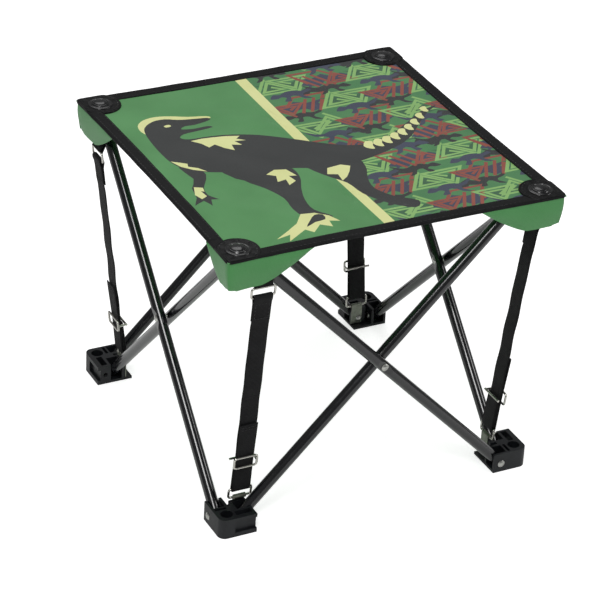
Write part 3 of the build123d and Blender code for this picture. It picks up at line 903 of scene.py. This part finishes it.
upper_bar = STRAP_LENGTH - RING_HEIGHT
hem_end = upper_bar - HEM
upper_path = [(14 * MM, 0.0), *run_between((14 * MM, 0.0), (hem_end - 12 * MM, 0.0), 60, 0.5 * MM),
              (hem_end - 12 * MM, 0.0), (hem_end - 6 * MM, 0.1 * MM), (hem_end, 0.7 * MM),
              *run_between((hem_end, 0.75 * MM), (upper_bar - 8 * MM, 0.95 * MM), 6),
              (upper_bar - 6 * MM, 1.3 * MM), (upper_bar - 2 * MM, LAYER),
              *arc_round(upper_bar, 90, -90)[1:-1],
              (upper_bar - 2 * MM, -LAYER), (upper_bar - 6 * MM, -1.3 * MM), (upper_bar - 8 * MM, -0.95 * MM),
              *run_between((upper_bar - 8 * MM, -0.95 * MM), (hem_end + 2 * MM, -0.85 * MM), 6),
              (hem_end, -0.85 * MM)]
lower_path = [(TAIL_END, TAIL_OUT), (TAIL_END - 4 * MM, TAIL_OUT - 0.1 * MM),
              *run_between((TAIL_END - 4 * MM, TAIL_OUT - 0.1 * MM), (SLIDER + 12 * MM, 2.2 * MM), 12),
              (SLIDER + 12 * MM, 2.2 * MM), (SLIDER + 5 * MM, 2.0 * MM), (SLIDER - 5 * MM, 1.9 * MM),
              *run_between((SLIDER - 5 * MM, 1.9 * MM), (RING_HEIGHT + 3 * MM, LAYER), 8),
              (RING_HEIGHT + 1.2 * MM, LAYER),
              *arc_round(RING_HEIGHT, 90, 270)[1:-1],
              (RING_HEIGHT + 1.2 * MM, -LAYER),
              *run_between((RING_HEIGHT + 3 * MM, -LAYER), (SLIDER - 4 * MM, -1.9 * MM), 8),
              (SLIDER - 2 * MM, -1.9 * MM), (SLIDER + 1 * MM, -1.9 * MM)]
core_path = [(s * MM, 0.0) for s in range(16, int(CORE_END / MM) + 1, 4)]
for turn, corner in enumerate(CORNERS):
    upper = ribbon(f"{corner}_upper_strap", upper_path, corner, turn, "strap_top")
    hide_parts(f"{corner}_upper_webbing")
    lower = ribbon(f"{corner}_lower_strap", lower_path, corner, turn, "strap_bottom")
    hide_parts(f"{corner}_lower_webbing")
    # the strap's spare length, which lies inside the doubled part until the stool is folded
    ribbon(f"{corner}_strap_reserve", core_path, corner, turn, "strap_bottom", WEBBING_WIDTH - 1 * MM,
           0.6 * MM)
    # sewn seams: a box seam on the hem and two rows at the tail's end
    places, tail_places = [], []
    up, out = turned(strap_up, turn), turned(strap_out, turn)
    for s in (hem_end + 3 * MM, hem_end + 20 * MM):
        for step in range(5):
            aside = Vector(((step - 2) * SEAM_SPACING, 0, 0))
            spot = strap_foot + strap_up * s + strap_out * SEAM_OUT + aside
            places.append((turned(spot, turn), turned((1, 0, 0), turn), out))
    for side in (-7.4 * MM, 7.4 * MM):
        for step in range(4):
            spot = strap_foot + strap_up * (hem_end + 5 * MM + step * 4.2 * MM) + strap_out * SEAM_OUT
            places.append((turned(spot + Vector((side, 0, 0)), turn), up, out))
    add_stitches(f"{corner}_hem_stitches", places, f"{corner}_strap_top", 2.8 * MM)
    for s in (TAIL_END - 3 * MM, TAIL_END - 6 * MM):
        for step in range(5):
            aside = Vector(((step - 2) * SEAM_SPACING, 0, 0))
            spot = strap_foot + strap_up * s + strap_out * (TAIL_OUT + 0.6 * MM) + aside
            tail_places.append((turned(spot, turn), turned((1, 0, 0), turn), out))
    add_stitches(f"{corner}_tail_stitches", tail_places, f"{corner}_strap_bottom", 2.8 * MM)
    # loop of webbing sewn into the pocket, which holds the upper ring
    loop_top = (SEAT_TOP - 9 * MM - strap_foot.z) / strap_up.z
    loop_path = [(loop_top, -8.0 * MM), (STRAP_LENGTH + 9 * MM, -5.0 * MM),
                 (STRAP_LENGTH + 5 * MM, -2.2 * MM), (STRAP_LENGTH + 2 * MM, 1.2 * MM),
                 *arc_round(STRAP_LENGTH, 60, -150)[1:-1],
                 (STRAP_LENGTH + 4 * MM, -5.0 * MM), (STRAP_LENGTH + 8 * MM, -7.4 * MM),
                 (loop_top, -10.4 * MM)]
    ribbon(f"{corner}_ring_loop", loop_path, corner, turn, "hub", WEBBING_WIDTH - 1 * MM)


# ---------------------------------------------------------------- carried-over pieces

FINISHES = (("_tube", TUBE), ("_rivets", RIVET), ("_foot", PLASTIC), ("_upper_hub", PLASTIC),
            ("_strap_tab", STRIP), ("_ring", WIRE), ("_slider", WIRE))
for name, node in frame["nodes"].items():
    for ending, material in FINISHES:
        if name.endswith(ending):
            node.data.materials.clear()
            node.data.materials.append(material)


# ---------------------------------------------------------------- stage, light and camera

world = bpy.data.worlds.new("studio")
bpy.context.scene.world = world
world.use_nodes = True
sky = world.node_tree
sky.nodes.clear()
rays = add_node(sky, "LightPath")
soft = add_node(sky, "Background", {"Color": linear("#ffffff"), "Strength": 0.34})
dim = add_node(sky, "Background", {"Color": linear("#ffffff"), "Strength": 0.16})
unseen = add_node(sky, "MixShader", {}, {0: rays.outputs["Is Glossy Ray"], 1: soft.outputs[0],
                                         2: dim.outputs[0]})
backdrop = add_node(sky, "Background", {"Color": linear("#ffffff"), "Strength": 1.0})
chosen = add_node(sky, "MixShader", {}, {0: rays.outputs["Is Camera Ray"], 1: unseen.outputs[0],
                                         2: backdrop.outputs[0]})
add_node(sky, "OutputWorld", {}, {"Surface": chosen.outputs[0]})

bpy.ops.mesh.primitive_plane_add(size=8, location=(0, 0, -0.2 * MM))
floor = bpy.context.object
floor.name = "floor"
floor.select_set(False)
# Matt white paper. Lifted for camera rays only, so that it reaches the backdrop's white outside the shadow.
paper, paper_tree, paper_shader = new_material(
    "matt white paper",
    {"Base Color": linear("#fbfbfb"), "Roughness": 0.95, "Specular IOR Level": 0.1,
     "Emission Color": linear("#ffffff")},
)
paper_rays = add_node(paper_tree, "LightPath")
FLOOR_LIFT = 0.62
lift = add_node(paper_tree, "Math", {"operation": "MULTIPLY", 1: FLOOR_LIFT},
                {0: paper_rays.outputs["Is Camera Ray"]})
paper_tree.links.new(lift.outputs[0], paper_shader.inputs["Emission Strength"])
floor.data.materials.append(paper)


def add_light(name, place, aim, size, power):
    """A soft square light that faces a point."""
    light = bpy.data.lights.new(name, "AREA")
    light.shape = "SQUARE"
    light.size = size
    light.energy = power
    lamp = bpy.data.objects.new(name, light)
    bpy.context.scene.collection.objects.link(lamp)
    lamp.location = place
    lamp.rotation_mode = "QUATERNION"
    lamp.rotation_quaternion = (Vector(aim) - Vector(place)).to_track_quat("-Z", "Y")


LIT_SPOT = (0, 0, 0.2)         # middle of the stool
add_light("key", (-1.1, -1.3, 1.9), LIT_SPOT, 0.8, 18)
add_light("fill", (1.7, -1.1, 1.2), LIT_SPOT, 0.7, 7)
add_light("top", (0.1, 0.9, 2.1), LIT_SPOT, 1.6, 12)

camera_data = bpy.data.cameras.new("camera")
camera = bpy.data.objects.new("camera", camera_data)
bpy.context.scene.collection.objects.link(camera)
bpy.context.scene.camera = camera
AZIMUTH, ELEVATION, ROLL = radians(-28.22), radians(30.11), radians(3.25)
SEAT_WIDTH = 2 * HALF_SEAT
back = Vector((sin(AZIMUTH) * cos(ELEVATION), -cos(AZIMUTH) * cos(ELEVATION), sin(ELEVATION)))
right = (-back).cross(Vector((0, 0, 1))).normalized()
above = right.cross(-back)
across = right * cos(ROLL) + above * sin(ROLL)
upright = above * cos(ROLL) - right * sin(ROLL)
target = Vector((-0.054, -0.070, 0.4365)) * SEAT_WIDTH
CAMERA_DISTANCE = 7.455 * SEAT_WIDTH
camera_data.lens = 159.46
camera_data.sensor_width = 36
camera.rotation_mode = "QUATERNION"
turn_matrix = Matrix((across, upright, back)).transposed()
camera.rotation_quaternion = turn_matrix.to_quaternion()
camera.location = target + back * CAMERA_DISTANCE
camera_data.clip_start = 0.05
camera_data.clip_end = 40

scene = bpy.context.scene
scene.view_settings.view_transform = "Standard"
